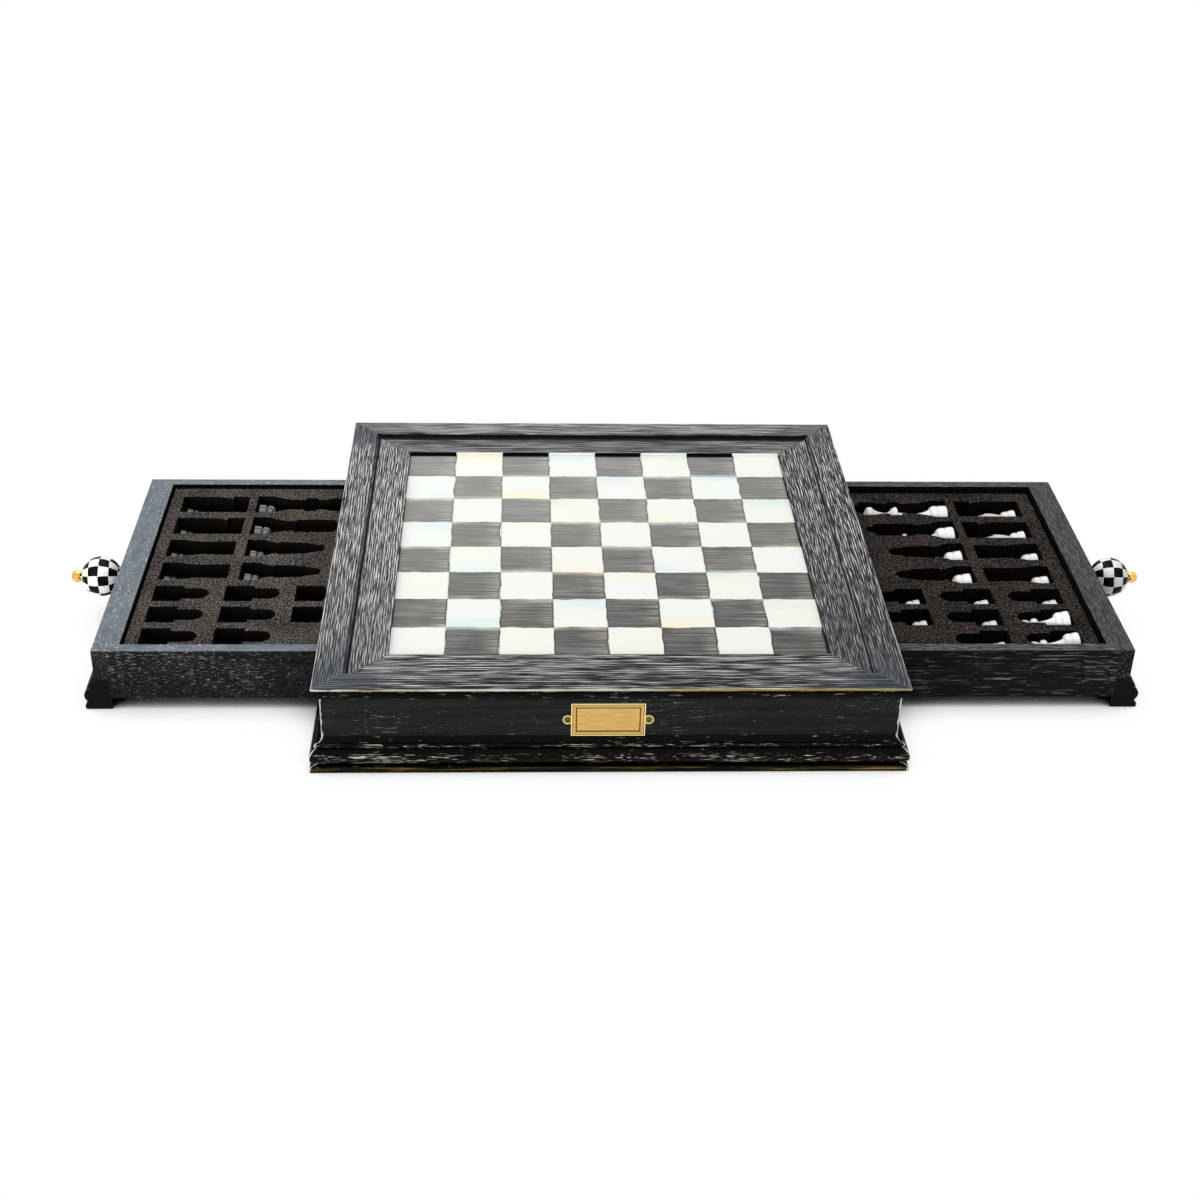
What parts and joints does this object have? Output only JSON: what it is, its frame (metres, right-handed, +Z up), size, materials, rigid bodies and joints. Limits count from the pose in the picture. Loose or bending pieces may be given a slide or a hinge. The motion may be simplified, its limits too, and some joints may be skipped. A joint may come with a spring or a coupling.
{
  "type": "chess box with drawers",
  "caption": "Square wooden chess box with an enamel board on top and a foam-lined drawer of chess men sliding out at each side, with chequered ball knobs.",
  "frame": {"origin": "middle of the case's underside, on the surface that it rests on", "axes": "+Z up, X along the drawers' travel with the drawer of white men at +X, -Y towards the front with the name plate"},
  "size_m": [0.9375, 0.4688, 0.0747],
  "materials": {
    "oak": "limed and rubbed dark stain",
    "oak_top": "limed and rubbed grey stain",
    "ply": "plain",
    "board_metal": "satin",
    "enamel_light": "gloss",
    "enamel_dark": "gloss, brushed streaks",
    "foam": "cut foam with flock",
    "men_black": "satin",
    "men_white": "satin",
    "knob_enamel": "black and white checks, gloss",
    "brass": "polished",
    "steel": "zinc plated"
  },
  "bodies": {
    "case": {"crown_rail_front": "oak_top", "crown_rail_back": "oak_top", "crown_rail_left": "oak_top", "crown_rail_right": "oak_top", "inner_rail_front": "oak_top", "inner_rail_back": "oak_top", "inner_rail_left": "oak_top", "inner_rail_right": "oak_top", "board_plate": "board_metal", "light_squares": "enamel_light", "dark_squares": "enamel_dark", "deck": "ply", "case_front": "oak", "case_back": "oak", "left_stile_front": "oak", "left_stile_back": "oak", "right_stile_front": "oak", "right_stile_back": "oak", "left_header": "oak", "right_header": "oak", "case_floor": "ply", "divider": "ply", "bay_wall_front": "ply", "bay_wall_back": "ply", "name_plate": "brass", "name_plate_screws": "brass"},
    "left_drawer": {"left_drawer_front": "oak_top", "left_drawer_side_front": "oak_top", "left_drawer_side_back": "oak_top", "left_drawer_back": "oak_top", "left_drawer_bottom": "ply", "left_foam_base": "foam", "left_foam_tray": "foam", "left_knob_ball": "knob_enamel", "left_knob_bead": "brass", "left_knob_screw": "steel", "black_king": "men_black", "black_queen": "men_black", "black_bishops": "men_black", "black_knights": "men_black", "black_rooks": "men_black", "black_pawns": "men_black"},
    "right_drawer": {"right_drawer_front": "oak_top", "right_drawer_side_front": "oak_top", "right_drawer_side_back": "oak_top", "right_drawer_back": "oak_top", "right_drawer_bottom": "ply", "right_foam_base": "foam", "right_foam_tray": "foam", "right_knob_ball": "knob_enamel", "right_knob_bead": "brass", "right_knob_screw": "steel", "white_king": "men_white", "white_queen": "men_white", "white_bishops": "men_white", "white_knights": "men_white", "white_rooks": "men_white", "white_pawns": "men_white"}
  },
  "joints": [
    {"name": "left_drawer_slide", "type": "slide", "parent": "case", "child": "left_drawer", "axis": [-1, 0, 0], "range_m": [-0.1888, 0.0177]},
    {"name": "right_drawer_slide", "type": "slide", "parent": "case", "child": "right_drawer", "axis": [1, 0, 0], "range_m": [-0.2065, 0]}
  ]
}
